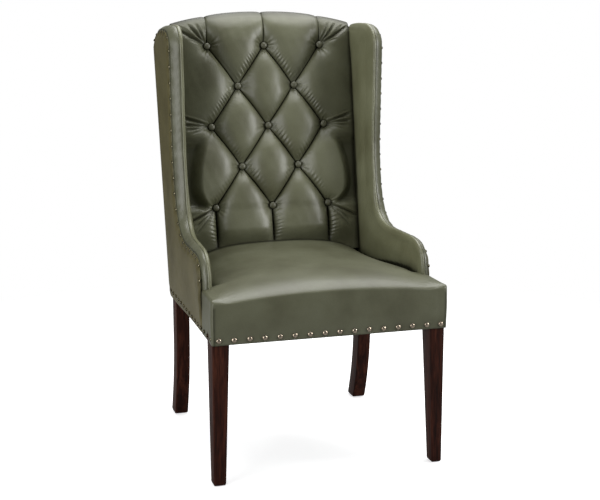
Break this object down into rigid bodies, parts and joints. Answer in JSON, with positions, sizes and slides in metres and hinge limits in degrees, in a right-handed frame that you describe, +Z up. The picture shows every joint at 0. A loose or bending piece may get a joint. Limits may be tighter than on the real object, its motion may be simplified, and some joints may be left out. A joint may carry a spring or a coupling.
{
  "type": "parsons chair",
  "caption": "Upholstered wing-back dining chair: crowned seat, diamond-tufted raked back, arms sweeping up into wings, tapered front legs and swept rear legs.",
  "frame": {"origin": "on the floor, under the middle of the chair's width and depth", "axes": "+Z up, the chair faces -Y, +X to its left-hand arm as seen by someone sitting in it facing -Y; left and right in node names are as seen from the front"},
  "size_m": [0.6272, 0.762, 1.1673],
  "materials": {
    "leather": "olive grey, smooth, semi-gloss",
    "padded_leather": "olive grey leather over foam",
    "foam": "matt upholstery foam",
    "walnut": "dark walnut stain, satin lacquer",
    "beech": "plain sawn hardwood",
    "plywood": "plain birch plywood",
    "webbing": "woven straps",
    "cambric": "black non-woven cloth",
    "nylon": "moulded glide"
  },
  "bodies": {
    "root": {"seat_cover": "leather", "tufted_cover": "leather", "arm_wing_boxing_left": "leather", "arm_wing_boxing_right": "leather", "outside_cover_left": "leather", "outside_cover_right": "leather", "outside_back": "leather", "button_1": "leather", "button_2": "leather", "button_3": "leather", "button_4": "leather", "button_5": "leather", "button_6": "leather", "button_7": "leather", "button_8": "leather", "button_9": "leather", "button_10": "leather", "button_11": "leather", "button_12": "leather", "button_13": "leather", "arm_wing_pad_left": "padded_leather", "arm_wing_pad_right": "padded_leather", "seat_foam": "foam", "back_foam": "foam", "front_leg_left": "walnut", "front_leg_right": "walnut", "rear_leg_left": "walnut", "rear_leg_right": "walnut", "front_glide_left": "nylon", "front_glide_right": "nylon", "rear_glide_left": "nylon", "rear_glide_right": "nylon", "front_seat_rail": "beech", "back_seat_rail": "beech", "side_seat_rail_left": "beech", "side_seat_rail_right": "beech", "front_corner_block_left": "beech", "front_corner_block_right": "beech", "rear_corner_block_left": "beech", "rear_corner_block_right": "beech", "crest_rail": "beech", "lower_back_rail": "beech", "arm_wing_board_left": "plywood", "arm_wing_board_right": "plywood", "seat_strap_1": "webbing", "seat_strap_2": "webbing", "seat_strap_3": "webbing", "seat_strap_4": "webbing", "seat_strap_5": "webbing", "cross_strap_1": "webbing", "cross_strap_2": "webbing", "cross_strap_3": "webbing", "cross_strap_4": "webbing", "back_strap_1": "webbing", "back_strap_2": "webbing", "back_strap_3": "webbing", "dust_cover": "cambric"}
  },
  "joints": []
}
